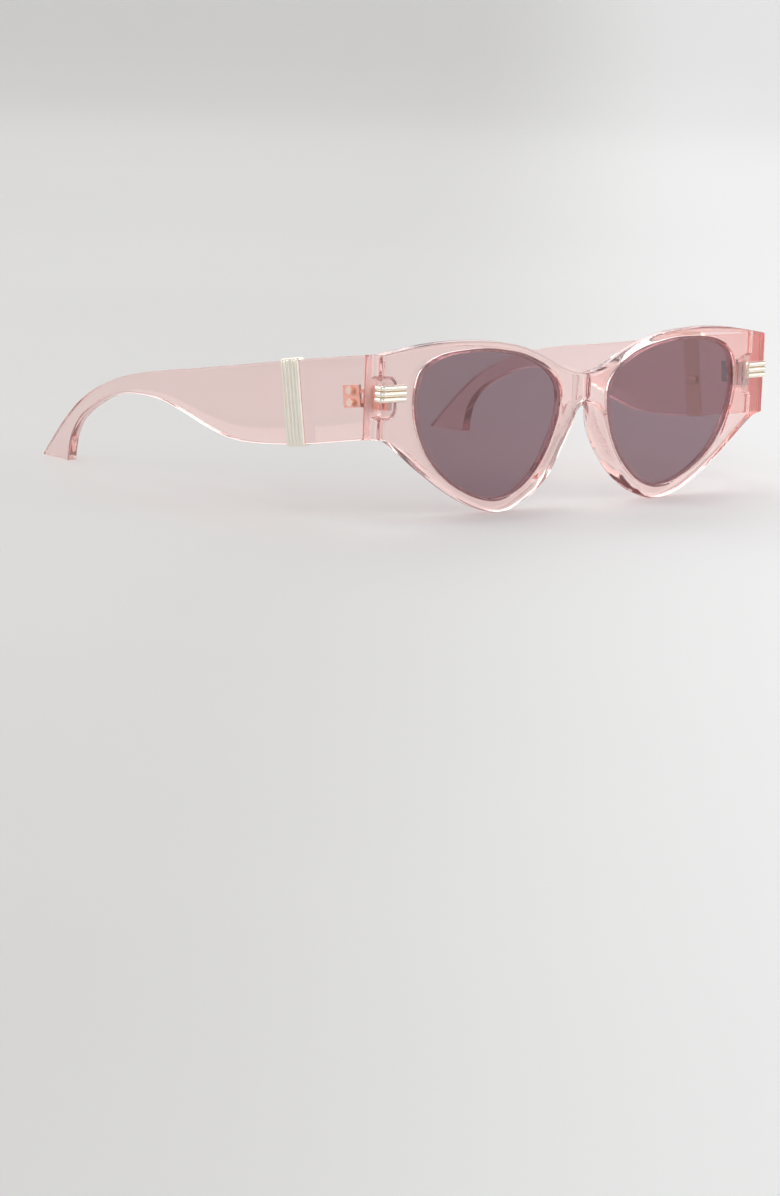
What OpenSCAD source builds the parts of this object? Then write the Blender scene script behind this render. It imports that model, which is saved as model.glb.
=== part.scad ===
// Cat eye sunglasses in clear tinted plastic, with five-knuckle hinges,
// ribbed corner trims and a ribbed metal band round each wide temple.
//
// Shapes are drawn in a working frame: X across the face, Y from the front
// face back to the ear, Z up from the middle of the lenses. seated() then
// lifts the pair until rims and temple tips stand on Z = 0.

/* [Front] */
// Width across the two end pieces
front_width = 145; // [138:1:150]
// Height of one lens opening
lens_height = 40.4; // [38.4:0.4:42.8]
// Front to back depth of the rims
rim_depth = 4.4; // [4:0.1:5]
// Radius of the front face, seen from above
front_radius = 780; // [600:10:900]
// Thickness of a lens
lens_thickness = 2; // [1.6:0.1:2.2]
// Depth of plastic in front of a lens
lens_setback = 1.1; // [0.8:0.1:1.4]
// How far a lens edge reaches into its groove
lens_bite = 0.9; // [0.6:0.1:1.2]

/* [Temples] */
// Length of a temple along Y, from the joint to the tip
temple_length = 138; // [132:1:144]
// Thickness of a temple at the joint
temple_thickness = 3.8; // [3.4:0.1:4.2]
// Thickness of a temple at the tip
tip_thickness = 3; // [2.6:0.1:3.4]
// Radius of the outward bow of a temple
bow_radius = 540; // [450:10:700]
// Distance from the joint back to the widest point
bow_lead = 80; // [60:1:90]

/* [Hinges] */
// Radius of the hinge barrel
barrel_radius = 1.6; // [1.4:0.05:1.7]
// Radius of the hinge screw
screw_radius = 0.7; // [0.6:0.05:0.8]
// Height of one knuckle
knuckle_height = 1.24; // [1.1:0.02:1.3]
// Thickness of a hinge leaf
leaf_thickness = 1; // [0.8:0.1:1.2]

/* [Trim] */
// Radius of a rib on a corner trim
corner_rib_radius = 0.75; // [0.6:0.05:0.75]
// Length of a corner trim along the front face
corner_trim_length = 7.4; // [5:0.2:8]
// Width of a temple band
band_width = 6.6; // [6:0.2:7.4]
// How far a temple band stands proud of the plastic
band_proud = 0.7; // [0.5:0.1:0.9]

/* [Hidden] */

PLASTIC = [0.93, 0.72, 0.70, 0.6];
SMOKE = [0.50, 0.38, 0.44, 0.75];
GOLD = [0.90, 0.83, 0.68];
STEEL = [0.66, 0.66, 0.67];

steps = 6;        // straight steps between two points of a smooth outline
fine = 720;       // sides of the large cylinders in a preview
small = 32;       // sides of the small cylinders in a preview
reach = 120;      // longer than anything that a cut goes through
fit_gap = 0.03;   // clearance of a lens in its groove
joint_gap = 0.15; // gap between an end piece and its temple

// Sizes that follow from the driving dimensions, against the nominal pair
wide = front_width / 145;
tall = lens_height / 40.4;
long = temple_length / 138;

corner_top = 19.3 * tall;
corner_bottom = -3.5 * tall;
foot_z = -25.4 * tall; // level of the rims' lowest points and of the temple tips
joint_x = front_width / 2 + 0.5;
joint_y = 9.4;
tip_y = joint_y + temple_length;

// Outlines as [x, z], for the half with positive x
LENS = scaled(wide, tall, [
  [58.8, 0], [59.8, 6.7], [58.6, 13], [55.8, 16.1], [50.5, 18.1], [44, 18.9], [37, 19.1],
  [30, 18.4], [22, 16.7], [14.2, 13.1], [9.8, 8], [9.5, 1], [11.8, -6], [14.9, -11.6],
  [18.9, -16.2], [23.6, -19.6], [29.3, -21.3], [35, -20.9], [41, -18.9], [47, -15.7],
  [52.5, -11.2], [56.5, -5.6]
]);
BROW = scaled(wide, tall, [
  [0, 11.6], [4, 12.1], [8, 13.4], [12, 15.3], [17, 17.6], [23, 19.8], [30, 21.3], [38, 22.1],
  [47, 22.3], [56, 21.8], [64, 20.7], [74, 19]
]);
UNDERSIDE = scaled(wide, tall, [
  [74, -3.4], [69.5, -3.9], [66, -5.9], [62, -9], [57.5, -12.6], [52, -16.4], [46.5, -19.8],
  [40.5, -22.8], [34.5, -24.8], [29, -25.4], [24.5, -24.6], [21, -22], [17.4, -18.9],
  [14, -14.9], [11, -9.7], [8.2, -4.5], [6.2, 0], [3.8, 2.8], [0, 4]
]);
// Edge of the nose pads, a flange that stands in from the rims
PAD_EDGE = scaled(wide, tall, [
  [0, 2.4], [1.6, 0.9], [3, -2.5], [4.9, -6.6], [7.1, -10.6], [9.3, -14.3], [11.6, -17.3],
  [14.3, -19.8], [18, -22.2], [22.5, -24.1], [27, -25.2]
]);
// Section across a nose pad, as [out from the flange edge, back from the front face]
PAD_SECTION = [[0, 2.6], [3.2, 0.3], [9, 0.3], [9, 4], [5.6, 7], [3.2, 8.2], [1.6, 6.8]];
pad_slope = 32;   // how far each nose pad splays from the vertical
pad_length = 36;
pad_depth = 7.6;  // deepest point of a pad, behind the front face
pad_z = -9 * tall;
pad_fade = 20;    // radius along which a pad runs out into the rim

// Side profile of a temple as [distance back from the joint, z]
TEMPLE_TOP = scaled(long, tall, [
  [0, 18.9], [22, 15.5], [44, 11.7], [66, 8], [83, 5.3], [96, 2.6], [106, -0.6], [114, -4.2],
  [121, -8.7], [127.5, -14.3], [133, -19.9], [138, -25.4]
]);
TEMPLE_UNDER = scaled(long, tall, [
  [123.9, -25.4], [123.5, -21.5], [122.2, -17.2], [118.8, -12.6], [113, -8.6], [105, -4.8],
  [97, -2.7], [88, -2.1], [79, -2.7], [70, -4.8], [60, -7.6], [50, -9.6], [41, -9.7],
  [30, -8.8], [18, -7.2], [0, -4]
]);

// Front-to-back offset that centres the whole pair on the origin
seat_y = tip_y / 2;

// Centres of the cylinders whose walls are a temple's outer and inner face
bow_x = joint_x - sqrt(bow_radius * bow_radius - bow_lead * bow_lead);
bow_y = joint_y + bow_lead;
taper = (temple_thickness - tip_thickness) * bow_radius / temple_length;
inner_radius = bow_radius - temple_thickness + taper * bow_lead / bow_radius;

// Hinge axis, and the height of the knuckle stack round it
leaf_face = barrel_radius + 0.35; // from the axis to the temple's inner face
hinge_y = joint_y + 2.3;
hinge_x = side_x(hinge_y) - temple_thickness - leaf_face;
hinge_z = 7.4 * tall;
splay = atan((bow_lead - 6) / bow_radius);
knuckle_pitch = knuckle_height + 0.06;
stack = 5 * knuckle_pitch - 0.06;
stack_bottom = hinge_z - stack / 2;
leaf_start = 1.9;
leaf_length = 5.9;
leaf_proud = 0.6;
leaf_droop = 8;
rivet_y = 2.9;
rivet_spacing = 3.2;
rivet_radius = 0.6;
rivet_head = 1.05;

// Boss that holds the front leaf
boss_width = 4.8;
boss_bottom = 1.8 * tall;
boss_top = 13 * tall;
boss_corner = 2.6;

// Corner trim
corner_x = side_x(front_y(joint_x));
corner_y = front_y(corner_x);
front_angle = asin(corner_x / front_radius);
side_angle = asin((bow_y - corner_y) / bow_radius);
mitre_angle = (front_angle - side_angle - 90) / 2;
corner_trim_z = 9 * tall;
corner_rib_pitch = 1.6;
corner_arm = 2;
plate_sink = 0.6;
plate_proud = 0.1;

// Temple band
band_y = joint_y + 25.7 * long;
band_z = 3 * tall;
band_lean = 9;
band_ribs = 5;
band_rib_pitch = band_width / band_ribs;
lip_width = 1.9;
lug_depth = 1.2;
lug_width = 4.4;
lug_height = 2.2;

function scaled(kx, kz, points) = [for (p = points) [p[0] * kx, p[1] * kz]];

// X of a temple's outer face at a given y, and y of the front face at a given x
function side_x(y) = bow_x + sqrt(bow_radius * bow_radius - (y - bow_y) * (y - bow_y));
function front_y(x) = front_radius - sqrt(front_radius * front_radius - x * x);

// Smooth curves through points, closed or with two free ends
function between(a, b, c, d, t) =
  (2 * b + (c - a) * t + (2 * a - 5 * b + 4 * c - d) * t * t + (3 * b - a - 3 * c + d) * t * t * t) / 2;
function closed_curve(p) = let (n = len(p)) [
  for (i = [0:n - 1], k = [0:steps - 1])
    between(p[(i + n - 1) % n], p[i], p[(i + 1) % n], p[(i + 2) % n], k / steps)
];
function open_curve(p) = let (n = len(p)) concat([
  for (i = [0:n - 2], k = [0:steps - 1])
    between(p[max(i - 1, 0)], p[i], p[i + 1], p[min(i + 2, n - 1)], k / steps)
], [p[n - 1]]);

// An outline moved outwards by a distance, with each point moved along its normal
function grown(p, distance) = let (n = len(p)) [
  for (i = [0:n - 1])
    let (along = p[(i + 1) % n] - p[(i + n - 1) % n])
      p[i] + distance * [along[1], -along[0]] / norm(along)
];
function mirrored(p) = [for (i = [len(p) - 1:-1:0]) [-p[i][0], p[i][1]]];

lens_outline = closed_curve(LENS);
half_front = concat(open_curve(BROW), open_curve(UNDERSIDE));
temple_outline = concat(open_curve(TEMPLE_TOP), open_curve(TEMPLE_UNDER));

module seated() {
  translate([0, -seat_y, -foot_z]) children();
}

module right() {
  mirror([1, 0, 0]) children();
}

module both() {
  children();
  right() children();
}

// A front-view outline extruded from y = -2 to y = 30
module front_prism(points) {
  translate([0, 30, 0]) rotate([90, 0, 0]) linear_extrude(32) polygon(points);
}

// A side-view outline extruded along X; its own x is the distance behind the joint
module side_prism(points) {
  translate([joint_x - 15, joint_y, 0]) rotate([90, 0, 90]) linear_extrude(30) polygon(points);
}

module upright(r) {
  translate([0, 0, -reach / 2]) cylinder(h = reach, r = r, $fn = fine);
}

// Curved slab that follows the front face, between two depths behind it
module front_slab(from, to) {
  translate([0, front_radius, 0]) difference() {
    upright(front_radius - from);
    upright(front_radius - to);
  }
}

// Curved slab that follows a temple, grown by a distance on both faces
module side_slab(growth = 0) {
  difference() {
    translate([bow_x, bow_y, 0]) upright(bow_radius + growth);
    translate([bow_x, bow_y + taper, 0]) upright(inner_radius - growth);
  }
}

// Everything inside the outer faces of the two sides
module between_sides() {
  intersection() {
    translate([bow_x, bow_y, 0]) upright(bow_radius);
    right() translate([bow_x, bow_y, 0]) upright(bow_radius);
  }
}

module lens_shape(growth, slack = 0) {
  intersection() {
    front_prism(grown(lens_outline, growth));
    front_slab(lens_setback - slack, lens_setback + lens_thickness + slack);
  }
}

// Flange that carries the frame on the nose, splayed like the nose itself
module nose_pad() {
  intersection() {
    translate([0.5, 0, 1.3]) rotate([0, -pad_slope, 0])
      translate([0, 0, -pad_length]) linear_extrude(pad_length + 8) polygon(PAD_SECTION);
    front_prism(concat(open_curve(PAD_EDGE), [[30 * wide, 0], [12 * wide, 8 * tall], [0, 8 * tall]]));
    translate([0, pad_depth - pad_fade, pad_z]) rotate([0, 90, 0])
      translate([0, 0, -1]) cylinder(h = 40, r = pad_fade, $fn = fine);
  }
}

// Wall that turns back from the front to meet the temple
module end_piece() {
  intersection() {
    side_slab();
    side_prism([
      [corner_y - joint_y, corner_top], TEMPLE_TOP[0],
      TEMPLE_UNDER[15], [corner_y - joint_y, corner_bottom]
    ]);
  }
}

module boss() {
  inner = hinge_x - boss_width + 2;
  translate([0, joint_y, 0]) rotate([90, 0, 0]) linear_extrude(joint_y - rim_depth) union() {
    translate([inner + boss_corner, boss_bottom]) square([boss_width - boss_corner, boss_top - boss_bottom]);
    translate([inner, boss_bottom + boss_corner])
      square([boss_corner + 1, boss_top - boss_bottom - 2 * boss_corner]);
    for (z = [boss_bottom + boss_corner, boss_top - boss_corner])
      translate([inner + boss_corner, z]) circle(boss_corner, $fn = small);
  }
}

// One knuckle of a hinge, counted from the bottom, with its solid core
module knuckle(index) {
  translate([hinge_x, hinge_y, stack_bottom + index * knuckle_pitch])
    cylinder(h = knuckle_height, r = barrel_radius, $fn = small);
}

// Part of the front leaf that is moulded into the boss
module front_anchor() {
  translate([hinge_x - 1, joint_y - 2.4, stack_bottom]) cube([1.2, 2.4, stack]);
}

module front_leaf() {
  difference() {
    union() {
      front_anchor();
      for (index = [0, 2, 4]) {
        knuckle(index);
        translate([hinge_x - 1, joint_y, stack_bottom + index * knuckle_pitch])
          cube([1.2, hinge_y - joint_y, knuckle_height]);
      }
    }
    translate([hinge_x, hinge_y, stack_bottom - 1])
      cylinder(h = stack + 2, r = screw_radius + 0.02, $fn = small);
  }
}

// Moves to the hinge axis and turns to follow the temple's inner face
module on_temple() {
  translate([hinge_x, hinge_y, hinge_z]) rotate([0, 0, -splay]) children();
}

// Drops the plate of the temple leaf along the slope of the temple
module on_plate() {
  on_temple() translate([0, leaf_start, 0]) rotate([-leaf_droop, 0, 0]) children();
}

// Plate of the temple leaf, let into the temple by part of its thickness
module temple_plate() {
  on_plate() translate([leaf_face - leaf_proud, 0, 0.2 - stack / 2])
    cube([leaf_thickness, leaf_length, stack - 0.4]);
}

module temple_leaf() {
  difference() {
    union() {
      temple_plate();
      for (index = [1, 3]) {
        knuckle(index);
        on_temple() translate([0.3, 0, index * knuckle_pitch - stack / 2])
          cube([leaf_face - 0.35, leaf_start + 0.8, knuckle_height]);
      }
    }
    translate([hinge_x, hinge_y, stack_bottom - 1])
      cylinder(h = stack + 2, r = screw_radius + 0.05, $fn = small);
    rivet_shafts();
  }
}

module at_rivets() {
  for (side = [-1, 1])
    on_plate() translate([0, rivet_y, side * rivet_spacing / 2]) rotate([0, 90, 0]) children();
}

module rivet_shafts() {
  at_rivets() translate([0, 0, leaf_face - 0.8]) cylinder(h = 3.2, r = rivet_radius, $fn = small);
}

module rivets() {
  rivet_shafts();
  at_rivets() translate([0, 0, leaf_face + 1.9]) cylinder(h = 0.5, r = rivet_head, $fn = small);
}

module screw() {
  translate([hinge_x, hinge_y, stack_bottom]) difference() {
    union() {
      translate([0, 0, -0.2]) cylinder(h = stack + 0.3, r = screw_radius, $fn = small);
      translate([0, 0, stack]) cylinder(h = 0.6, r = barrel_radius - 0.3, $fn = small);
    }
    translate([-barrel_radius, -0.15, stack + 0.3]) cube([2 * barrel_radius, 0.3, 1]);
  }
}

// Plate bent round the corner of the front and mitred there, let in flush with three round ribs on it
module corner_trim(ribs = 3) {
  translate([corner_x, corner_y, corner_trim_z]) {
    intersection() {
      rotate([0, 0, front_angle]) translate([-corner_trim_length, 0, 0])
        trim_arm(corner_trim_length + 2, ribs);
      rotate([0, 0, mitre_angle]) translate([-10, -20, -10]) cube([20, 20, 20]);
    }
    intersection() {
      rotate([0, 0, 90 - side_angle]) translate([-2, 0, 0]) trim_arm(corner_arm + 2, ribs);
      rotate([0, 0, mitre_angle]) translate([-10, 0, -10]) cube([20, 20, 20]);
    }
  }
}

// One straight arm of a corner trim, along X with its outside towards -Y
module trim_arm(length, ribs) {
  height = 2 * corner_rib_pitch + 2 * corner_rib_radius;
  translate([0, -plate_proud, -height / 2]) cube([length, plate_sink + plate_proud, height]);
  if (ribs > 0) for (rib = [0:ribs - 1])
    translate([0, -0.2, (rib - (ribs - 1) / 2) * corner_rib_pitch]) rotate([0, 90, 0])
      cylinder(h = length, r = corner_rib_radius, $fn = small);
}

module front_solid() {
  difference() {
    union() {
      intersection() {
        front_prism(concat(half_front, mirrored(half_front)));
        front_slab(0, rim_depth);
        between_sides();
      }
      both() {
        nose_pad();
        end_piece();
        boss();
      }
    }
    both() {
      front_prism(lens_outline);
      lens_shape(lens_bite + fit_gap, fit_gap);
      front_anchor();
      corner_trim(0);
    }
  }
}

module temple() {
  difference() {
    intersection() {
      side_prism(temple_outline);
      side_slab();
      translate([0, joint_y + joint_gap, -reach / 2]) cube([reach, reach * 2, reach]);
    }
    temple_plate();
    rivets();
    band_lug();
  }
}

// Slice of space that the band fills, square to the temple
module band_slice() {
  translate([joint_x - 15, band_y, band_z]) rotate([-band_lean, 0, 0])
    translate([0, -band_width / 2, -30]) cube([30, band_width, 60]);
}

// Lug on the back of the band, let into the temple to hold the band on it
module band_lug() {
  translate([side_x(band_y), band_y, band_z - 1]) rotate([-band_lean, 0, 0])
    translate([-lug_depth, -lug_width / 2, -lug_height / 2]) cube([lug_depth + 0.3, lug_width, lug_height]);
}

// Ribbed plate on the temple's outer face, with a lip over its top and bottom edges
module band() {
  difference() {
    union() {
      intersection() {
        side_prism(grown(temple_outline, -band_proud));
        translate([bow_x, bow_y, 0]) difference() {
          upright(bow_radius + band_proud);
          upright(bow_radius - lip_width);
        }
        band_slice();
      }
      band_rib_set();
    }
    intersection() {
      side_prism(grown(temple_outline, -fit_gap));
      side_slab(fit_gap);
    }
  }
  band_lug();
}

module band_rib_set() {
  for (rib = [0:band_ribs - 1]) {
    back = (rib - (band_ribs - 1) / 2) * band_rib_pitch;
    translate([side_x(band_y + back) + band_proud - 0.25, band_y, band_z]) rotate([-band_lean, 0, 0])
      translate([0, back, -11.4 * tall]) cylinder(h = 22.8 * tall, r = 0.55, $fn = small);
  }
}

module front_frame() color(PLASTIC) seated() front_solid();
module lens_right() color(SMOKE) seated() right() lens_shape(lens_bite);
module lens_left() color(SMOKE) seated() lens_shape(lens_bite);
module front_hinge_right() color(STEEL) seated() right() front_leaf();
module front_hinge_left() color(STEEL) seated() front_leaf();
module hinge_screw_right() color(STEEL) seated() right() screw();
module hinge_screw_left() color(STEEL) seated() screw();
module corner_trim_right() color(GOLD) seated() right() corner_trim();
module corner_trim_left() color(GOLD) seated() corner_trim();
module temple_right() color(PLASTIC) seated() right() temple();
module temple_left() color(PLASTIC) seated() temple();
module temple_hinge_right() color(STEEL) seated() right() temple_leaf();
module temple_hinge_left() color(STEEL) seated() temple_leaf();
module temple_hinge_rivets_right() color(GOLD) seated() right() rivets();
module temple_hinge_rivets_left() color(GOLD) seated() rivets();
module temple_band_right() color(GOLD) seated() right() band();
module temple_band_left() color(GOLD) seated() band();

front_frame();
lens_right();
lens_left();
front_hinge_right();
front_hinge_left();
hinge_screw_right();
hinge_screw_left();
corner_trim_right();
corner_trim_left();
temple_right();
temple_left();
temple_hinge_right();
temple_hinge_left();
temple_hinge_rivets_right();
temple_hinge_rivets_left();
temple_band_right();
temple_band_left();
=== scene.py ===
import math

import bmesh
import bpy
import numpy as np
from mathutils import Matrix, Vector


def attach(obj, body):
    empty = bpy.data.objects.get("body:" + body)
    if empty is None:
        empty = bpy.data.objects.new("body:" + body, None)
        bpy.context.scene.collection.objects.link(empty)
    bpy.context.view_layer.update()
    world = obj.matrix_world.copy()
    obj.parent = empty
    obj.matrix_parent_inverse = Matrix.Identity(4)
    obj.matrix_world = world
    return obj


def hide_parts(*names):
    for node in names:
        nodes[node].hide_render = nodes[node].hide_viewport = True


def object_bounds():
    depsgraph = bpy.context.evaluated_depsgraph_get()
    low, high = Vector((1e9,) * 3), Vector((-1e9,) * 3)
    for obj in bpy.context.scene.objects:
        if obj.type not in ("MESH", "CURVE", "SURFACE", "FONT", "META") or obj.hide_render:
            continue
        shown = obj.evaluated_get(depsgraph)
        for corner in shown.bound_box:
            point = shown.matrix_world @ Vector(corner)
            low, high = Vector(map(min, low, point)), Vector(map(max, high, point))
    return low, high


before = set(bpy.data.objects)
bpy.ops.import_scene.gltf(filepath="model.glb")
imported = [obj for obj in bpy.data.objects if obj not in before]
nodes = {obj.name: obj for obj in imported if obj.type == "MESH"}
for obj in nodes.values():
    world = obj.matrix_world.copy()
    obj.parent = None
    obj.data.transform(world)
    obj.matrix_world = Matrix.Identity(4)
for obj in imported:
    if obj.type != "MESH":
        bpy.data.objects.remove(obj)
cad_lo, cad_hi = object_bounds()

# ---------------------------------------------------------------- measures
# Shapes are drawn in millimetres: x across the face, y back from the front
# face, z up from the middle of the lenses. Only the left half is drawn.

FOOT = -25.4
FRONT_RADIUS = 780.0
RIM_DEPTH = 4.4
# Rounding of the rim's outer edges, across and deep, and of the edges of the end pieces
EDGE_WIDTH, EDGE_DEPTH = 1.5, 1.3
END_EDGE_WIDTH, END_EDGE_DEPTH = 0.6, 0.5
# Where the one rounding starts to turn into the other, and how far that takes
END_START, END_REACH = 58.0, 10.0
END_X, END_TOP, END_LOW = 74.0, 19.0, -3.4

LENS_MIDDLE = np.array([35.0, 0.0])
LENS_SETBACK, LENS_THICKNESS, LENS_BITE, LENS_PLAY = 1.1, 2.0, 0.9, 0.03
LIP_RADIUS = 0.5

BRIDGE_REACH = 6.0
SCOOP_REACH, SCOOP_DEPTH, SCOOP_START = 3.4, 1.0, 1.4

BOSS_INNER, BOSS_OUTER, BOSS_LOW, BOSS_TOP, BOSS_CORNER = 64.8, 70.5, 1.8, 13.0, 2.6

# A nose pad is deepest at PAD_Z and fades along an arc above and below it
PAD_Z, PAD_PEAK, PAD_FADE = -9.0, 7.6, 20.0
PAD_ROOT, PAD_DEEP, PAD_LEAST = 2.0, 7.7, 4.2
PAD_WIDTH, PAD_CLEAR = 5.0, 1.2

JOINT_X, JOINT_Y = 73.0, 9.4
TEMPLE_LENGTH, TEMPLE_THICKNESS, TIP_THICKNESS, TEMPLE_EDGE = 138.0, 3.8, 3.0, 0.5
HALF = TEMPLE_THICKNESS / 2
BOW_RADIUS, BOW_LEAD = 540.0, 80.0

BAND_Y, BAND_Z, BAND_LEAN = JOINT_Y + 25.7, 3.0, math.radians(9)
BAND_WIDTH, BAND_RIBS, BAND_PROUD, BAND_LIP, BAND_BEND = 6.6, 5, 0.7, 1.9, 0.7
BAND_BED, BAND_GROOVE = 1.75, 0.42

TRIM_X, TRIM_Z, TRIM_PITCH, TRIM_RIB = 71.96, 9.0, 1.6, 0.75
TRIM_HALF, TRIM_BED, TRIM_BEND = 2.35, -0.6, 0.35

LENS = [
    (58.8, 0), (59.8, 6.7), (58.6, 13), (55.8, 16.1), (50.5, 18.1), (44, 18.9), (37, 19.1),
    (30, 18.4), (22, 16.7), (14.2, 13.1), (9.8, 8), (9.5, 1), (11.8, -6), (14.9, -11.6),
    (18.9, -16.2), (23.6, -19.6), (29.3, -21.3), (35, -20.9), (41, -18.9), (47, -15.7),
    (52.5, -11.2), (56.5, -5.6),
]
BROW = [
    (0, 11.6), (4, 12.1), (8, 13.4), (12, 15.3), (17, 17.6), (23, 19.8), (30, 21.3), (38, 22.1),
    (47, 22.3), (56, 21.8), (64, 20.7), (END_X, END_TOP),
]
UNDERSIDE = [
    (END_X, END_LOW), (69.5, -3.9), (66, -5.9), (62, -9), (57.5, -12.6), (52, -16.4),
    (46.5, -19.8), (40.5, -22.8), (34.5, -24.8), (29, -25.4), (24.5, -24.6), (21, -22),
    (17.4, -18.9), (14, -14.9), (11, -9.7), (8.2, -4.5), (6.2, 0), (3.8, 2.8), (0, 4),
]
PAD_EDGE = [
    (0, 2.4), (1.6, 0.9), (3, -2.5), (4.9, -6.6), (7.1, -10.6), (9.3, -14.3), (11.6, -17.3),
    (14.3, -19.8), (18, -22.2), (22.5, -24.1), (27, -25.2),
]
# In from the pad's edge, and back from the front face
PAD_SECTION = [
    (0, 2.7), (0.1, 2.3), (0.4, 1.95), (2.8, 0.5), (4.4, 0.5), (5, 3), (5, 4.6), (4.7, 6.2),
    (4.0, 7.3), (3.1, PAD_DEEP), (2.3, 7.5), (1.6, 6.8), (0.9, 5.2), (0.25, 3.7),
]
# Back from the joint, and up
TEMPLE_TOP = [
    (0, 18.9), (22, 15.5), (44, 11.7), (66, 8), (83, 5.3), (96, 2.6), (106, -0.6), (114, -4.2),
    (121, -8.7), (127.5, -14.3), (133, -19.9), (TEMPLE_LENGTH, FOOT),
]
TEMPLE_UNDER = [
    (0, -4), (18, -7.2), (30, -8.8), (41, -9.7), (50, -9.6), (60, -7.6), (70, -4.8), (79, -2.7),
    (88, -2.1), (97, -2.7), (105, -4.8), (113, -8.6), (118.8, -12.6), (122.2, -17.2),
    (123.5, -21.5), (123.9, FOOT),
]
# Shares of the top edge's length, and the shares of the lower edge's length across from them
TOP_SHARES = [0, 0.453, 0.657, 0.79, 1]
UNDER_SHARES = [0, 0.51, 0.717, 0.83, 1]


# ---------------------------------------------------------------- curves

def spline(points, steps, closed=False):
    """Smooth curve through points, with steps pieces between two of them."""
    p = np.array(points, float)
    n = len(p)
    out = []
    for i in range(n if closed else n - 1):
        if closed:
            a, b, c, d = (p[(i + k) % n] for k in (-1, 0, 1, 2))
        else:
            a, b, c, d = p[max(i - 1, 0)], p[i], p[i + 1], p[min(i + 2, n - 1)]
        for k in range(steps):
            t = k / steps
            out.append(
                (2 * b + (c - a) * t + (2 * a - 5 * b + 4 * c - d) * t * t
                 + (3 * b - a - 3 * c + d) * t ** 3) / 2
            )
    if not closed:
        out.append(p[-1])
    return np.array(out)


def at_share(p, share):
    """Points at the given shares of a curve's length."""
    s = np.concatenate([[0], np.cumsum(np.linalg.norm(np.diff(p, axis=0), axis=1))])
    way = np.asarray(share) * s[-1]
    return np.stack([np.interp(way, s, p[:, k]) for k in range(p.shape[1])], 1)


def grown(p, distance):
    """A closed outline moved out along its normals."""
    along = np.roll(p, -1, 0) - np.roll(p, 1, 0)
    normal = np.stack([along[:, 1], -along[:, 0]], 1)
    return p + distance * normal / np.linalg.norm(normal, axis=1, keepdims=True)


def polar(outline, angles):
    """Distance of an outline from the middle of the lens at each angle."""
    d = outline - LENS_MIDDLE
    a = np.arctan2(d[:, 1], d[:, 0])
    order = np.argsort(a)
    return np.interp(angles, a[order], np.hypot(d[:, 0], d[:, 1])[order], period=2 * math.pi)


def front_y(x, depth=0.0):
    """y of a surface that lies a depth behind the curved front face."""
    return FRONT_RADIUS - np.sqrt((FRONT_RADIUS - depth) ** 2 - np.asarray(x) ** 2)


BOW_X = JOINT_X - math.sqrt(BOW_RADIUS ** 2 - BOW_LEAD ** 2)
BOW_Y = JOINT_Y + BOW_LEAD
TAPER = (TEMPLE_THICKNESS - TIP_THICKNESS) * BOW_RADIUS / TEMPLE_LENGTH
INNER_RADIUS = BOW_RADIUS - TEMPLE_THICKNESS + TAPER * BOW_LEAD / BOW_RADIUS


def side_x(y):
    """x of a temple's outer face."""
    return BOW_X + np.sqrt(BOW_RADIUS ** 2 - (np.asarray(y) - BOW_Y) ** 2)


def side_inner_x(y):
    return BOW_X + np.sqrt(INNER_RADIUS ** 2 - (np.asarray(y) - BOW_Y - TAPER) ** 2)


def in_temple(a, y, z):
    """Point that lies a outwards of the middle of a temple's thickness."""
    share = 0.5 + a / TEMPLE_THICKNESS
    return side_inner_x(y) * (1 - share) + side_x(y) * share, y, z


def to_frame(p):
    """Millimetres of the drawing to metres of the row frame."""
    p = np.asarray(p, float)
    return p / 1000 + np.array([0, cad_lo.y, cad_lo.z - FOOT / 1000])


lens_curve = spline(LENS, 24, closed=True)
brow_curve = spline(BROW, 24)
under_curve = spline(UNDERSIDE, 24)
top_curve = spline(TEMPLE_TOP, 24)
low_curve = spline(TEMPLE_UNDER, 24)


# ---------------------------------------------------------------- meshes

def loft(rings, closed=False):
    """Quads over rings of points, with the ends capped or joined."""
    rings = np.asarray(rings, float)
    n, m = rings.shape[:2]
    faces = []
    for i in range(n if closed else n - 1):
        j = (i + 1) % n
        for k in range(m):
            l = (k + 1) % m
            faces.append((i * m + k, i * m + l, j * m + l, j * m + k))
    if not closed:
        faces.append(tuple(range(m))[::-1])
        faces.append(tuple(range((n - 1) * m, n * m)))
    return rings.reshape(-1, 3), faces


def mirrored(part):
    verts, faces = part
    return verts * [-1, 1, 1], [f[::-1] for f in faces]


def joined(parts):
    verts, faces, base = [], [], 0
    for v, f in parts:
        verts.append(v)
        faces += [tuple(i + base for i in face) for face in f]
        base += len(v)
    return np.concatenate(verts), faces


def make(name, part, sharp=35):
    """Object from a drawn part, shaded smooth up to the sharp angle."""
    verts, faces = part
    mesh = bpy.data.meshes.new(name)
    mesh.from_pydata(to_frame(verts).tolist(), [], faces)
    bm = bmesh.new()
    bm.from_mesh(mesh)
    bmesh.ops.recalc_face_normals(bm, faces=bm.faces)
    bm.to_mesh(mesh)
    bm.free()
    mesh.shade_smooth()
    mesh.set_sharp_from_angle(angle=math.radians(sharp))
    obj = bpy.data.objects.new(name, mesh)
    bpy.context.scene.collection.objects.link(obj)
    return obj


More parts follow.
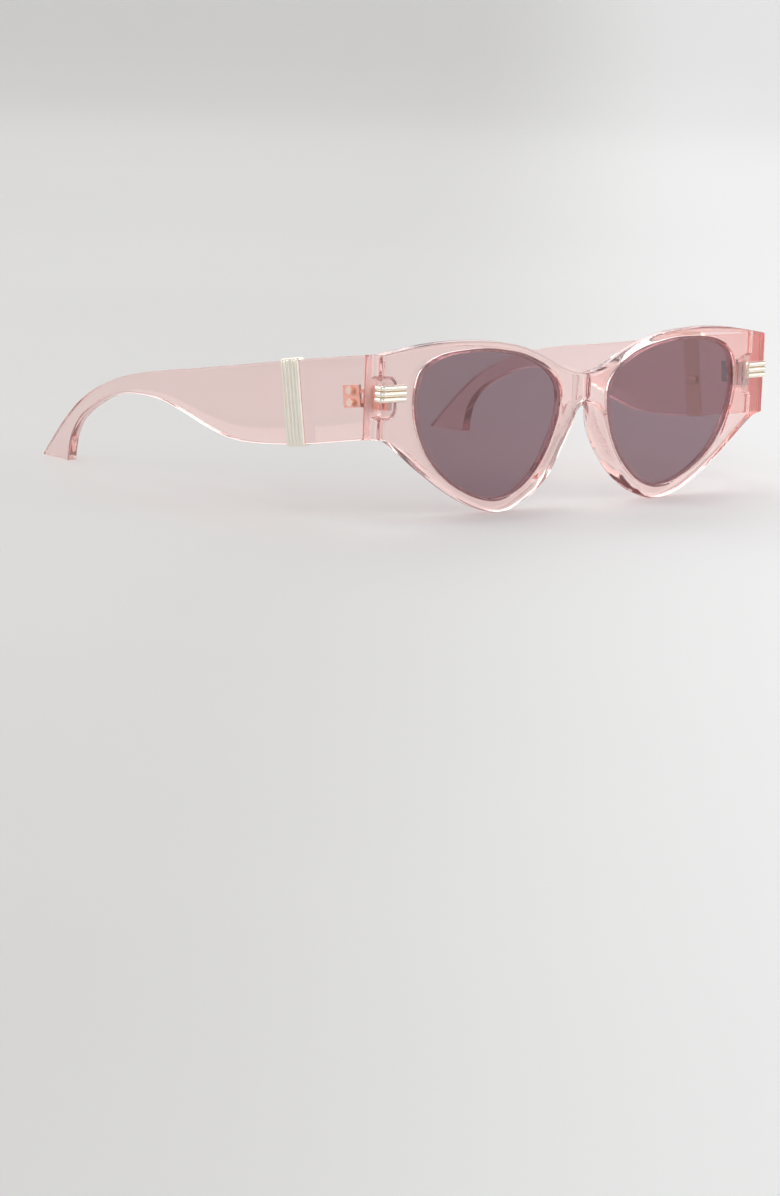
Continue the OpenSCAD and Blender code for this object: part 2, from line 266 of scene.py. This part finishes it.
def box_section(low, high, radius, arc=4, along=6):
    """Rounded rectangle as a closed list of points, with extra points along its longer sides."""
    (a0, b0), (a1, b1) = low, high
    corners = [(a1 - radius, b1 - radius, 0), (a0 + radius, b1 - radius, 90),
               (a0 + radius, b0 + radius, 180), (a1 - radius, b0 + radius, 270)]
    out = []
    for i, (ca, cb, start) in enumerate(corners):
        for k in range(arc + 1):
            t = math.radians(start + 90 * k / arc)
            out.append((ca + radius * math.cos(t), cb + radius * math.sin(t)))
        next_a, next_b, next_start = corners[(i + 1) % 4]
        t = math.radians(next_start)
        end = np.array((next_a + radius * math.cos(t), next_b + radius * math.sin(t)))
        begin = np.array(out[-1])
        if i % 2 == 0:
            out += [tuple(begin + (end - begin) * k / along) for k in range(1, along)]
    return np.array(out)


# ---------------------------------------------------------------- front
# Overlapping closed parts, which melted() turns into one skin

def rim_section(inner, groove, outer, crown, drop):
    """Outline across the rim, as (distance from the lens middle, depth)."""
    section = []
    for k in range(6):
        t = math.radians(18 * k)
        section.append((inner + LIP_RADIUS - LIP_RADIUS * math.cos(t),
                        LIP_RADIUS - LIP_RADIUS * math.sin(t)))
    width = outer - inner
    section += [(inner + width * k / 4, 0) for k in (1, 2)]
    turns = [math.radians(15 * k) for k in range(7)]
    bulge = [(outer - crown + crown * math.sin(t), drop * (1 - math.cos(t))) for t in turns]
    section += bulge + [(outer, RIM_DEPTH / 2)]
    section += [(rho, RIM_DEPTH - depth) for rho, depth in reversed(bulge)]
    section += [(inner + width * k / 4, RIM_DEPTH) for k in (2, 1)]
    section += [(inner + 0.28, RIM_DEPTH), (inner + 0.08, RIM_DEPTH - 0.08), (inner, RIM_DEPTH - 0.28)]
    front, back = LENS_SETBACK - LENS_PLAY, LENS_SETBACK + LENS_THICKNESS + LENS_PLAY
    return section + [(inner, back), (groove, back), (groove, front), (inner, front)]


def rim_ring():
    side = np.stack([np.full(30, END_X), np.linspace(END_TOP, END_LOW, 30)], 1)
    middle = np.stack([np.zeros(20), np.linspace(4, 11.6, 20)], 1)
    outline = np.concatenate([brow_curve, side[1:-1], under_curve, middle[1:-1]])
    corners = ((END_X, END_TOP), (END_X, END_LOW), (0, 4), (0, 11.6))
    corner_angles = [math.atan2(z - LENS_MIDDLE[1], x - LENS_MIDDLE[0]) for x, z in corners]
    angles = np.sort(np.concatenate([np.linspace(-math.pi, math.pi, 361)[:-1], corner_angles]))
    inner = polar(lens_curve, angles)
    groove = polar(grown(lens_curve, LENS_BITE + LENS_PLAY), angles)
    outer = polar(outline, angles)
    rings = []
    for a, ri, rg, ro in zip(angles, inner, groove, outer):
        way = np.array([math.cos(a), math.sin(a)])
        share = min(max(((LENS_MIDDLE + way * ro)[0] - END_START) / END_REACH, 0), 1)
        crown = EDGE_WIDTH + (END_EDGE_WIDTH - EDGE_WIDTH) * share
        drop = EDGE_DEPTH + (END_EDGE_DEPTH - EDGE_DEPTH) * share
        rows = []
        for rho, depth in rim_section(ri, rg, ro, crown, drop):
            x, z = LENS_MIDDLE + way * rho
            y = front_y(x, depth)
            rows.append((min(x, side_x(y)), y, z))
        rings.append(rows)
    return loft(rings, closed=True)


def bridge():
    flat = RIM_DEPTH / 2 - EDGE_DEPTH
    rings = []
    for x in np.linspace(-BRIDGE_REACH, BRIDGE_REACH, 25):
        top = np.interp(abs(x), brow_curve[:, 0], brow_curve[:, 1])
        low = np.interp(abs(x), under_curve[::-1, 0], under_curve[::-1, 1])
        section = []
        for centre, start in ((top - EDGE_WIDTH, 0), (low + EDGE_WIDTH, 180)):
            for k in range(13):
                t = math.radians(start + 15 * k)
                lean = math.cos(t)
                depth = RIM_DEPTH / 2 * (1 - lean)
                if abs(lean) < 0.95:
                    depth = RIM_DEPTH / 2 - flat * np.sign(lean) - EDGE_DEPTH * lean
                section.append((centre + EDGE_WIDTH * math.sin(t), depth))
        rings.append([(x, front_y(x, d), z) for z, d in section])
    return loft(rings)


def end_piece():
    rings = []
    for y, inset in ((4.6, 0), (6, 0), (7.5, 0), (9.1, 0), (9.3, 0.08), (JOINT_Y, 0.3)):
        share = (y - 3.5) / (JOINT_Y - 3.5)
        low = -3.5 - 0.5 * share
        top = 19.3 - 0.4 * share
        section = box_section((side_x(y) - TEMPLE_THICKNESS + inset, low + inset),
                              (side_x(y) - inset, top - inset), 0.35, along=1)
        rings.append([(x, y, z) for x, z in section])
    return loft(rings)


def boss():
    """Block behind the corner that holds the front hinge leaf."""
    rings = []
    steps = ((4, -0.25), (6.2, -0.2), (6.9, 0), (8.7, 0), (9.1, 0.12), (9.3, 0.3), (JOINT_Y, 0.6))
    for y, inset in steps:
        section = [(BOSS_OUTER, BOSS_TOP - inset), (BOSS_OUTER, BOSS_LOW + inset)]
        radius = BOSS_CORNER - inset
        for cz, start in ((BOSS_LOW + BOSS_CORNER, 270), (BOSS_TOP - BOSS_CORNER, 180)):
            for k in range(9):
                t = math.radians(start - 90 * k / 8)
                section.append((BOSS_INNER + BOSS_CORNER + radius * math.cos(t), cz + radius * math.sin(t)))
        rings.append([(x, y, z) for x, z in section])
    return loft(rings)


def nose_pad():
    edge = at_share(spline(PAD_EDGE, 24), np.linspace(0, 1, 70))
    along = np.gradient(edge, axis=0)
    inward = np.stack([-along[:, 1], along[:, 0]], 1)
    inward /= np.linalg.norm(inward, axis=1, keepdims=True)
    rings = []
    for p, n in zip(edge, inward):
        arc = math.sqrt(PAD_FADE ** 2 - (p[1] - PAD_Z) ** 2)
        deepest = max(PAD_PEAK - PAD_FADE + arc, PAD_LEAST)
        share = (deepest - PAD_ROOT) / (PAD_DEEP - PAD_ROOT)
        room = np.hypot(*(lens_curve - p).T).min()
        squeeze = min((room - PAD_CLEAR) / PAD_WIDTH, 1)
        rows = []
        for out, depth in PAD_SECTION:
            x, z = p + n * out * squeeze
            rows.append((x, front_y(x) + min(depth, PAD_ROOT + (depth - PAD_ROOT) * share), z))
        rings.append(rows)
    return loft(rings)


def pad_foot(points):
    """1 where the lower end of a nose pad runs into the rim, 0 further away and at the lens opening."""
    x, z = np.abs(points[:, 0]), points[:, 2]
    rel = np.stack([x, z], 1) - LENS_MIDDLE
    clear = np.hypot(rel[:, 0], rel[:, 1]) - polar(lens_curve, np.arctan2(rel[:, 1], rel[:, 0]))
    return np.clip((clear - 1.1) / 0.8, 0, 1) * np.clip((-5 - z) / 4, 0, 1) * np.clip((31 - x) / 5, 0, 1)


def vertex_array(mesh):
    co = np.zeros(len(mesh.vertices) * 3)
    mesh.vertices.foreach_get("co", co)
    return co.reshape(-1, 3)


def melted(name, parts, voxel, rounds, blend, blend_rounds):
    """One skin over overlapping closed parts, with its edges eased, and more so where blend says."""
    rough = make(name + "_rough", joined(parts))
    remesh = rough.modifiers.new("skin", "REMESH")
    remesh.mode = "VOXEL"
    remesh.voxel_size = voxel / 1000
    mesh = bpy.data.meshes.new_from_object(rough.evaluated_get(bpy.context.evaluated_depsgraph_get()))
    bpy.data.objects.remove(rough)
    co = vertex_array(mesh)
    ends = np.zeros(len(mesh.edges) * 2, int)
    mesh.edges.foreach_get("vertices", ends)
    ends = ends.reshape(-1, 2)
    count = np.bincount(ends.ravel(), minlength=len(co))[:, None]

    def to_neighbours():
        total = np.stack([
            np.bincount(ends[:, 0], co[ends[:, 1], k], len(co))
            + np.bincount(ends[:, 1], co[ends[:, 0], k], len(co)) for k in range(3)
        ], 1)
        return total / np.maximum(count, 1) - co

    # A pull towards the neighbours, then a slightly stronger push back, keeps the volume
    for _ in range(rounds):
        co += 0.5 * to_neighbours()
        co -= 0.52 * to_neighbours()
    share = blend((co - to_frame((0, 0, 0))) * 1000)[:, None]
    for _ in range(blend_rounds):
        co += 0.6 * share * to_neighbours()
    mesh.vertices.foreach_set("co", co.ravel())
    mesh.shade_smooth()
    mesh.name = name
    obj = bpy.data.objects.new(name, mesh)
    bpy.context.scene.collection.objects.link(obj)
    return obj


def scoop_back(obj):
    """Shallow upright hollow down the back of the bridge."""
    co = vertex_array(obj.data)
    across = co[:, 0] * 1000
    depth = (co[:, 1] - cad_lo.y) * 1000 - front_y(across)
    hollow = np.clip(1 - (across / SCOOP_REACH) ** 2, 0, 1) * np.clip((depth - SCOOP_START) / 3, 0, 1)
    co[:, 1] -= SCOOP_DEPTH / 1000 * hollow
    obj.data.vertices.foreach_set("co", co.ravel())
    obj.data.update()


# ---------------------------------------------------------------- other pieces

def lens():
    outline = lens_curve[::2]
    face = grown(outline, LENS_BITE - 0.3)
    rings = [(LENS_MIDDLE + (face - LENS_MIDDLE) * s, 0.0) for s in np.linspace(0.04, 0.96, 12)]
    rings += [(face, 0.0), (grown(outline, LENS_BITE - 0.08), 0.08), (grown(outline, LENS_BITE), 0.3)]
    back = [(p, LENS_THICKNESS - d) for p, d in reversed(rings)]
    return loft([[(x, front_y(x, LENS_SETBACK + d), z) for x, z in p] for p, d in rings + back])


def temple():
    shares = np.linspace(0, 1, 190)
    top = at_share(top_curve, shares)
    low = at_share(low_curve, np.interp(shares, TOP_SHARES, UNDER_SHARES))

    def ring(t, b, inset, y=None):
        """Section from a point of the lower edge up to one of the top edge, or the same laid flat at y."""
        height = np.linalg.norm(t - b)
        up = (t - b) / height
        section = box_section((-HALF + inset, inset), (HALF - inset, height - inset), TEMPLE_EDGE,
                              arc=5, along=10)
        rows = []
        for a, h in section:
            s, z = b + up * h
            rows.append(in_temple(a, JOINT_Y + s if y is None else y, z))
        return rows

    rings = [ring(top[0], low[0], inset, JOINT_Y + back)
             for back, inset in ((0.15, 0.28), (0.23, 0.08), (0.43, 0.0))]
    rings += [ring(t, b, 0.0) for t, b in zip(top[1:-1], low[1:-1])]
    up = np.array([0, 0.35])
    rings.append(ring(top[-1] + up + [-0.3, 0], low[-1] + up, 0.0))
    rings.append(ring(top[-1] + up * 0.25 + [-0.1, 0], low[-1] + up * 0.25, 0.1))
    rings.append(ring(top[-1], low[-1], 0.35))
    return loft(rings)


def band():
    """Ribbed plate on a temple, with a lip over its top and bottom edges and a lug behind it."""
    centre = np.array([BAND_Y, BAND_Z])
    back = np.array([math.cos(BAND_LEAN), -math.sin(BAND_LEAN)])
    up = np.array([math.sin(BAND_LEAN), math.cos(BAND_LEAN)])
    pitch = BAND_WIDTH / BAND_RIBS
    inner = HALF - BAND_LIP

    def point(a, h, middle):
        return in_temple(a, *(middle + up * h))

    def lip(edge, skin, way):
        """Lip and rounded corner at the top (way 1) or bottom edge (way -1), from the inside out."""
        over = edge + way * skin * 0.85
        out = [(inner, edge - way * 0.2), (inner, edge + way * skin * 0.6), (inner + 0.15, over)]
        out += [(HALF - BAND_LIP * k, over) for k in (0.7, 0.35)]
        for k in range(7):
            t = math.radians(90 - 15 * k)
            out.append((HALF + skin - BAND_BEND + BAND_BEND * math.cos(t),
                        over - way * BAND_BEND + way * BAND_BEND * math.sin(t)))
        return out

    rings = []
    ends = [0, 0.06, 0.16]
    steps = ends + list(np.linspace(0.3, BAND_WIDTH - 0.3, 61)) + [BAND_WIDTH - u for u in reversed(ends)]
    for u in steps:
        middle = centre + back * (u - BAND_WIDTH / 2)
        high, low = (
            np.interp(0, (curve + [JOINT_Y, 0] - middle) @ back, (curve + [JOINT_Y, 0] - middle) @ up)
            for curve in (top_curve, low_curve)
        )
        skin = BAND_PROUD - BAND_GROOVE + BAND_GROOVE * abs(math.sin(math.pi * u / pitch)) ** 0.55
        skin -= 0.25 * max(0.0, 1 - min(u, BAND_WIDTH - u) / 0.16)
        skin = max(skin, 0.12)
        outline = lip(high, skin, 1)
        outline += [(HALF + skin, low + (high - low) * k / 10) for k in range(9, 0, -1)]
        outline += reversed(lip(low, skin, -1))
        outline += [(BAND_BED, low + 0.2)]
        outline += [(BAND_BED, low + (high - low) * k / 10) for k in range(1, 10)]
        outline += [(BAND_BED, high - 0.2)]
        rings.append([point(a, h, middle) for a, h in outline])
    lug = []
    for u, inset in ((-2.2, 0.1), (-2.1, 0.0), (2.1, 0.0), (2.2, 0.1)):
        section = box_section((0.7 + inset, -2.1 + inset), (1.85, 0.1 - inset), 0.15, arc=2, along=1)
        lug.append([point(a, h, centre + back * u) for a, h in section])
    return joined([loft(rings), loft(lug)])


def corner_trim():
    """Three ribs on a plate, bent round the corner of the front."""
    corner = np.array([TRIM_X, float(front_y(TRIM_X))])
    profile = [(-TRIM_HALF, TRIM_BED), (-TRIM_HALF, 0.05), (-TRIM_HALF + 0.05, 0.1)]
    for rib in (-1, 0, 1):
        for k in range(13):
            t = math.radians(172 - 164 * k / 12)
            profile.append((rib * TRIM_PITCH + TRIM_RIB * math.cos(t), 0.2 + TRIM_RIB * math.sin(t)))
    profile += [(TRIM_HALF - 0.05, 0.1), (TRIM_HALF, 0.05), (TRIM_HALF, TRIM_BED)]
    front_angle = math.asin(corner[0] / FRONT_RADIUS)
    side_angle = math.asin((BOW_Y - corner[1]) / BOW_RADIUS)
    along_front = np.array([math.cos(front_angle), math.sin(front_angle)])
    out_front = np.array([along_front[1], -along_front[0]])
    along_side = np.array([math.sin(side_angle), math.cos(side_angle)])
    out_side = np.array([along_side[1], -along_side[0]])

    def ring(base, out, shrink):
        rows = []
        for z, h in profile:
            x, y = base + out * (h if h < 0 else max(h - shrink, 0.0))
            rows.append((x, y, TRIM_Z + z * (1 - shrink / 3)))
        return rows

    on_front = ((-7.4, 0.3), (-7.34, 0.1), (-7.25, 0), (-7.2, 0),
                (-5, 0), (-2.5, 0), (-0.4, 0), (-0.3, 0))
    on_side = ((0.3, 0), (0.4, 0), (1.8, 0), (1.86, 0), (1.94, 0.1), (2.0, 0.3))
    rings = [ring(corner + along_front * u, out_front, shrink) for u, shrink in on_front]
    mid = out_front + out_side
    mid /= np.linalg.norm(mid)
    turn = math.acos(float(out_front @ out_side))
    pivot = corner - mid * TRIM_BEND / math.cos(turn / 2)
    for k in range(7):
        share = k / 6
        out = out_front * math.sin((1 - share) * turn) + out_side * math.sin(share * turn)
        rings.append([(*(pivot + out / math.sin(turn) * (h + TRIM_BEND)), TRIM_Z + z) for z, h in profile])
    rings += [ring(corner + along_side * u, out_side, shrink) for u, shrink in on_side]
    return loft(rings)


# ---------------------------------------------------------------- materials

def material(name):
    m = bpy.data.materials.new(name)
    m.use_nodes = True
    nt = m.node_tree
    nt.nodes.clear()
    return m, nt, nt.nodes.new, nt.links.new


def noise(nt, coord, scale, detail):
    n = nt.nodes.new("ShaderNodeTexNoise")
    n.inputs["Scale"].default_value = scale
    n.inputs["Detail"].default_value = detail
    nt.links.new(coord, n.inputs["Vector"])
    return n.outputs["Fac"]


def ranged(nt, value, low, high, start=0.3, end=0.7):
    """low where value is start or less, high where it is end or more."""
    n = nt.nodes.new("ShaderNodeMapRange")
    n.inputs["From Min"].default_value = start
    n.inputs["From Max"].default_value = end
    n.inputs["To Min"].default_value = low
    n.inputs["To Max"].default_value = high
    nt.links.new(value, n.inputs["Value"])
    return n.outputs["Result"]


def maths(nt, operation, *values):
    n = nt.nodes.new("ShaderNodeMath")
    n.operation = operation
    for socket, value in zip(n.inputs, values):
        if isinstance(value, (int, float)):
            socket.default_value = value
        else:
            nt.links.new(value, socket)
    return n.outputs[0]


def mixed(nt, share, first, second):
    """Colour that goes from first to second; each is a colour or a socket."""
    n = nt.nodes.new("ShaderNodeMix")
    n.data_type = "RGBA"
    nt.links.new(share, n.inputs[0])
    for socket, value in ((n.inputs[6], first), (n.inputs[7], second)):
        if isinstance(value, tuple):
            socket.default_value = (*value, 1)
        else:
            nt.links.new(value, socket)
    return n.outputs[2]


def parts_of(nt, vector):
    n = nt.nodes.new("ShaderNodeSeparateXYZ")
    nt.links.new(vector, n.inputs[0])
    return n.outputs


def bump(nt, height, strength, distance):
    n = nt.nodes.new("ShaderNodeBump")
    n.inputs["Strength"].default_value = strength
    n.inputs["Distance"].default_value = distance
    nt.links.new(height, n.inputs["Height"])
    return n.outputs["Normal"]


def clear_material(name, colour, ior, polish, absorb=None, density=0.0, wave=0.0, frost=None):
    """Clear tinted plastic: what is behind shows through, and light reaches through it in a tinted shadow.

    frost is a range of y: the faces in it are matt.
    """
    m, nt, node, link = material(name)
    coord = node("ShaderNodeTexCoord").outputs["Object"]
    shader = node("ShaderNodeBsdfPrincipled")
    shader.inputs["Base Color"].default_value = (*colour, 1)
    shader.inputs["IOR"].default_value = ior
    shader.inputs["Transmission Weight"].default_value = 1.0
    rough = ranged(nt, noise(nt, coord, 90, 3), *polish)
    if frost:
        y = parts_of(nt, coord)["Y"]
        start, end = frost
        behind = ranged(nt, y, 0, 1, start - 0.0001, start)
        before = ranged(nt, y, 1, 0, end, end + 0.0001)
        rough = maths(nt, "MULTIPLY_ADD", maths(nt, "MULTIPLY", behind, before), 0.6, rough)
    link(rough, shader.inputs["Roughness"])
    if wave:
        link(bump(nt, noise(nt, coord, 60, 1), wave, 0.0002), shader.inputs["Normal"])
    through = node("ShaderNodeBsdfTransparent")
    through.inputs["Color"].default_value = (*[0.95 * math.sqrt(c) for c in colour], 1)
    mix = node("ShaderNodeMixShader")
    path = node("ShaderNodeLightPath")
    link(path.outputs["Is Shadow Ray"], mix.inputs["Fac"])
    link(shader.outputs[0], mix.inputs[1])
    link(through.outputs[0], mix.inputs[2])
    out = node("ShaderNodeOutputMaterial")
    link(mix.outputs[0], out.inputs["Surface"])
    if density:
        inside = node("ShaderNodeVolumeAbsorption")
        inside.inputs["Color"].default_value = (*absorb, 1)
        inside.inputs["Density"].default_value = density
        link(inside.outputs[0], out.inputs["Volume"])
    return m


def metal_material(name, colour, dark, rough, grain, stretch, painted_pink_reflection=None, painted_groove_shade=None):
    """Metal with soft patches of a darker tone and a fine grain.

    The next to last argument is a painted reflection of the pink plastic, laid on the sides that are bonded
    into it; the last is painted shade for narrow gaps.
    """
    m, nt, node, link = material(name)
    texture = node("ShaderNodeTexCoord")
    coord = texture.outputs["Object"]
    mapping = node("ShaderNodeMapping")
    mapping.inputs["Scale"].default_value = stretch
    link(coord, mapping.inputs["Vector"])
    fine = noise(nt, mapping.outputs[0], 900, 3)
    ramp = node("ShaderNodeValToRGB")
    ramp.color_ramp.elements[0].position, ramp.color_ramp.elements[1].position = 0.3, 0.7
    ramp.color_ramp.elements[0].color = (*dark, 1)
    ramp.color_ramp.elements[1].color = (*colour, 1)
    link(noise(nt, coord, 140, 2), ramp.inputs["Fac"])
    tone = ramp.outputs["Color"]
    if painted_pink_reflection:
        # Painted reflection: the sides that face outwards, into the plastic, get the plastic's pink painted
        # on
        side = maths(nt, "SIGN", parts_of(nt, coord)["X"])
        outwards = maths(nt, "MULTIPLY", side, parts_of(nt, texture.outputs["Normal"])["X"])
        tone = mixed(nt, ranged(nt, outwards, 0, 1), tone, painted_pink_reflection)
    if painted_groove_shade:
        # Painted shade: the less open space a point sees close around it, the more the dark gap tone is
        # mixed in
        open_sky = node("ShaderNodeAmbientOcclusion")
        open_sky.inputs["Distance"].default_value = 0.0006
        open_sky.samples = 6
        tone = mixed(nt, ranged(nt, open_sky.outputs["AO"], 0, 1, 0.27, 0.72), painted_groove_shade, tone)
    shader = node("ShaderNodeBsdfPrincipled")
    shader.inputs["Metallic"].default_value = 1.0
    link(tone, shader.inputs["Base Color"])
    link(ranged(nt, fine, *rough), shader.inputs["Roughness"])
    link(bump(nt, fine, grain, 0.00002), shader.inputs["Normal"])
    out = node("ShaderNodeOutputMaterial")
    link(shader.outputs[0], out.inputs["Surface"])
    return m


def paper_material(name, painted_shade_tone, painted_light_tone):
    """Pale paper with painted light: a painted pool of light makes it lighter towards the right of the
    picture, and a painted glow where it curves up.
    """
    m, nt, node, link = material(name)
    shader = node("ShaderNodeBsdfPrincipled")
    coord = node("ShaderNodeTexCoord").outputs["Object"]
    across = node("ShaderNodeVectorMath")
    across.operation = "DOT_PRODUCT"
    across.inputs[1].default_value = (0.725, -0.688, 0)
    link(coord, across.inputs[0])
    share = node("ShaderNodeMapRange")
    share.interpolation_type = "SMOOTHERSTEP"
    share.inputs["From Min"].default_value = -0.06
    share.inputs["From Max"].default_value = 0.14
    link(across.outputs["Value"], share.inputs["Value"])
    ramp = node("ShaderNodeValToRGB")
    ramp.color_ramp.elements[0].color = (*painted_shade_tone, 1)
    ramp.color_ramp.elements[1].color = (*painted_light_tone, 1)
    link(share.outputs["Result"], ramp.inputs["Fac"])
    link(ramp.outputs["Color"], shader.inputs["Base Color"])
    # Painted glow: the paper gives off light of its own, more the higher it curves up
    shader.inputs["Emission Color"].default_value = (1, 1, 1, 1)
    link(ranged(nt, parts_of(nt, coord)["Z"], 0, 0.24, 0.03, 0.3), shader.inputs["Emission Strength"])
    link(ranged(nt, noise(nt, coord, 3, 2), 0.6, 0.8), shader.inputs["Roughness"])
    out = node("ShaderNodeOutputMaterial")
    link(shader.outputs[0], out.inputs["Surface"])
    return m


joint_face = (cad_lo.y * 1000 + JOINT_Y) / 1000
plastic = clear_material("pink_crystal", (1.0, 0.84, 0.82), 1.49, (0.015, 0.05),
                         absorb=(0.97, 0.18, 0.14), density=22, wave=0.05,
                         frost=(joint_face - 0.00005, joint_face + 0.0002))
# Lens tint: partly the lens's own mauve, partly painted shade that makes it darker, standing for a shaded
# face seen through it
lens_tint_and_shade = clear_material("lens_tint_and_painted_shade", (0.30, 0.195, 0.228), 1.5, (0.0, 0.02))
gold = metal_material("pale_gold", (1.0, 0.95, 0.86), (0.98, 0.92, 0.81), (0.16, 0.26), 0.1, (1, 1, 1),
                      painted_groove_shade=(0.55, 0.42, 0.26))
steel = metal_material("hinge_steel", (0.64, 0.63, 0.62), (0.50, 0.49, 0.49), (0.24, 0.42), 0.3, (1, 1, 6),
                       painted_pink_reflection=(0.90, 0.62, 0.52))


# ---------------------------------------------------------------- pieces

def paint(obj, mat):
    obj.data.materials.clear()
    obj.data.materials.append(mat)


def place(obj, body, mat, slot, *replaced):
    paint(obj, mat)
    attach(obj, body)
    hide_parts(*replaced)


half = [rim_ring(), end_piece(), boss(), nose_pad()]
front = melted("front_shell", half + [mirrored(p) for p in half] + [bridge()], 0.3, 6, pad_foot, 24)
scoop_back(front)
place(front, "front", plastic, "frame_plastic", "front_frame")

shapes = {"lens": lens(), "temple": temple(), "band": band(), "trim": corner_trim()}
for side, flip in (("right", mirrored), ("left", lambda part: part)):
    own = "temple_" + side
    place(make("lens_pane_" + side, flip(shapes["lens"]), 60), "front", lens_tint_and_shade, "lens_smoke", "lens_" + side)
    place(make("corner_ribs_" + side, flip(shapes["trim"])), "front", gold, "trim_gold",
          "corner_trim_" + side)
    place(make("temple_arm_" + side, flip(shapes["temple"])), own, plastic, "frame_plastic", own)
    place(make("ribbed_band_" + side, flip(shapes["band"])), own, gold, "trim_gold", "temple_band_" + side)
    for name, mat, width in (("front_hinge_", steel, 0.12), ("temple_hinge_", steel, 0.12),
                             ("hinge_screw_", steel, 0.08), ("temple_hinge_rivets_", gold, 0.15)):
        obj = nodes[name + side]
        obj.material_slots[0].material = mat
        edge = obj.modifiers.new("edge", "BEVEL")
        edge.width, edge.segments, edge.limit_method = width / 1000, 2, "ANGLE"
        edge.angle_limit = math.radians(40)
        edge.harden_normals = True


# ---------------------------------------------------------------- stage
# Metres from here on

FLOOR_REACH, CURVE_RADIUS, WALL_REACH, WALL_TOP = 1.5, 0.6, 2.11, 0.75


def sweep():
    """Floor that curves up into a backdrop on every side."""
    profile = [(FLOOR_REACH * k / 3, 0.0) for k in range(4)]
    for k in range(1, 13):
        t = math.radians(7.5 * k)
        profile.append((FLOOR_REACH + CURVE_RADIUS * math.sin(t), CURVE_RADIUS * (1 - math.cos(t))))
    profile.append((WALL_REACH, WALL_TOP))
    verts, faces, n = [], [], 72
    for r, z in profile:
        for k in range(n):
            a = 2 * math.pi * k / n
            verts.append((r * math.cos(a), r * math.sin(a), z))
    for i in range(len(profile) - 1):
        for k in range(n):
            l = (k + 1) % n
            faces.append((i * n + k, i * n + l, (i + 1) * n + l, (i + 1) * n + k))
    mesh = bpy.data.meshes.new("studio_floor")
    mesh.from_pydata(verts, [], faces)
    mesh.shade_smooth()
    obj = bpy.data.objects.new("studio_floor", mesh)
    bpy.context.scene.collection.objects.link(obj)
    return obj


floor = sweep()
# Painted pool of light: the paper goes from a darker tone on the left to a lighter one on the right
paint(floor, paper_material("studio_paper", (0.71, 0.705, 0.695), (0.92, 0.92, 0.92)))


def softbox(name, place_at, aim, size, power):
    data = bpy.data.lights.new(name, "AREA")
    data.shape = "RECTANGLE"
    data.size, data.size_y = size
    data.energy = power
    obj = bpy.data.objects.new(name, data)
    obj.location = place_at
    obj.rotation_euler = (Vector(aim) - Vector(place_at)).to_track_quat("-Z", "Y").to_euler()
    obj.visible_camera = False
    bpy.context.scene.collection.objects.link(obj)


softbox("top_light", (-0.1, 0.2, 1.5), (0, 0, 0), (0.9, 0.7), 5)
softbox("side_light", (-1.0, 0.8, 0.6), (0, 0, 0.02), (0.8, 1.1), 4.6)
softbox("back_light", (0.9, 1.2, 0.9), (0, 0, 0.02), (1.2, 0.7), 4.6)
softbox("front_light", (1.0, -1.1, 0.75), (-0.07, -0.07, 0.03), (1.1, 0.9), 5.6)
softbox("near_light", (-1.0, -1.2, 0.75), (-0.05, -0.05, 0.03), (0.45, 0.6), 2.6)

scene = bpy.context.scene
world = bpy.data.worlds.new("studio")
world.use_nodes = True
world.node_tree.nodes["Background"].inputs["Color"].default_value = (1, 1, 1, 1)
world.node_tree.nodes["Background"].inputs["Strength"].default_value = 0.44
scene.world = world
scene.view_settings.view_transform = "Standard"
# Light crosses many faces of the clear parts before it leaves them
scene.cycles.max_bounces, scene.cycles.glossy_bounces = 28, 24
scene.cycles.transmission_bounces, scene.cycles.transparent_max_bounces = 28, 28

# ---------------------------------------------------------------- camera
# It stands DISTANCE millimetres from the drawing's origin. FOCAL_HEIGHTS is its focal length in picture
# heights. It is turned so that the origin shows OFF_RIGHT and OFF_UP of a height from the picture's middle.

AZIMUTH, ELEVATION, ROLL = math.radians(-43.5), math.radians(7.24), math.radians(2.66)
DISTANCE, FOCAL_HEIGHTS = 1346.6, 4.0727
OFF_RIGHT, OFF_UP = 0.1642, 0.1530
SENSOR = 36

toward = np.array([math.sin(AZIMUTH) * math.cos(ELEVATION), -math.cos(AZIMUTH) * math.cos(ELEVATION),
                   math.sin(ELEVATION)])
level = np.array([math.cos(AZIMUTH), math.sin(AZIMUTH), 0])
upright = np.cross(toward, level)
right_way = math.cos(ROLL) * level + math.sin(ROLL) * upright
up_way = -math.sin(ROLL) * level + math.cos(ROLL) * upright
look = -toward - right_way * OFF_RIGHT / FOCAL_HEIGHTS - up_way * OFF_UP / FOCAL_HEIGHTS
back_axis = Vector(-look).normalized()
x_axis = (Vector(right_way) - back_axis * Vector(right_way).dot(back_axis)).normalized()
y_axis = back_axis.cross(x_axis)
camera_data = bpy.data.cameras.new("camera")
camera_data.lens = FOCAL_HEIGHTS * SENSOR
camera_data.sensor_width = SENSOR
camera_data.clip_start, camera_data.clip_end = 0.01, 20
camera = bpy.data.objects.new("camera", camera_data)
spot = Vector(to_frame(toward * DISTANCE))
camera.matrix_world = Matrix.Translation(spot) @ Matrix((x_axis, y_axis, back_axis)).transposed().to_4x4()
scene.collection.objects.link(camera)
bpy.context.scene.camera = camera
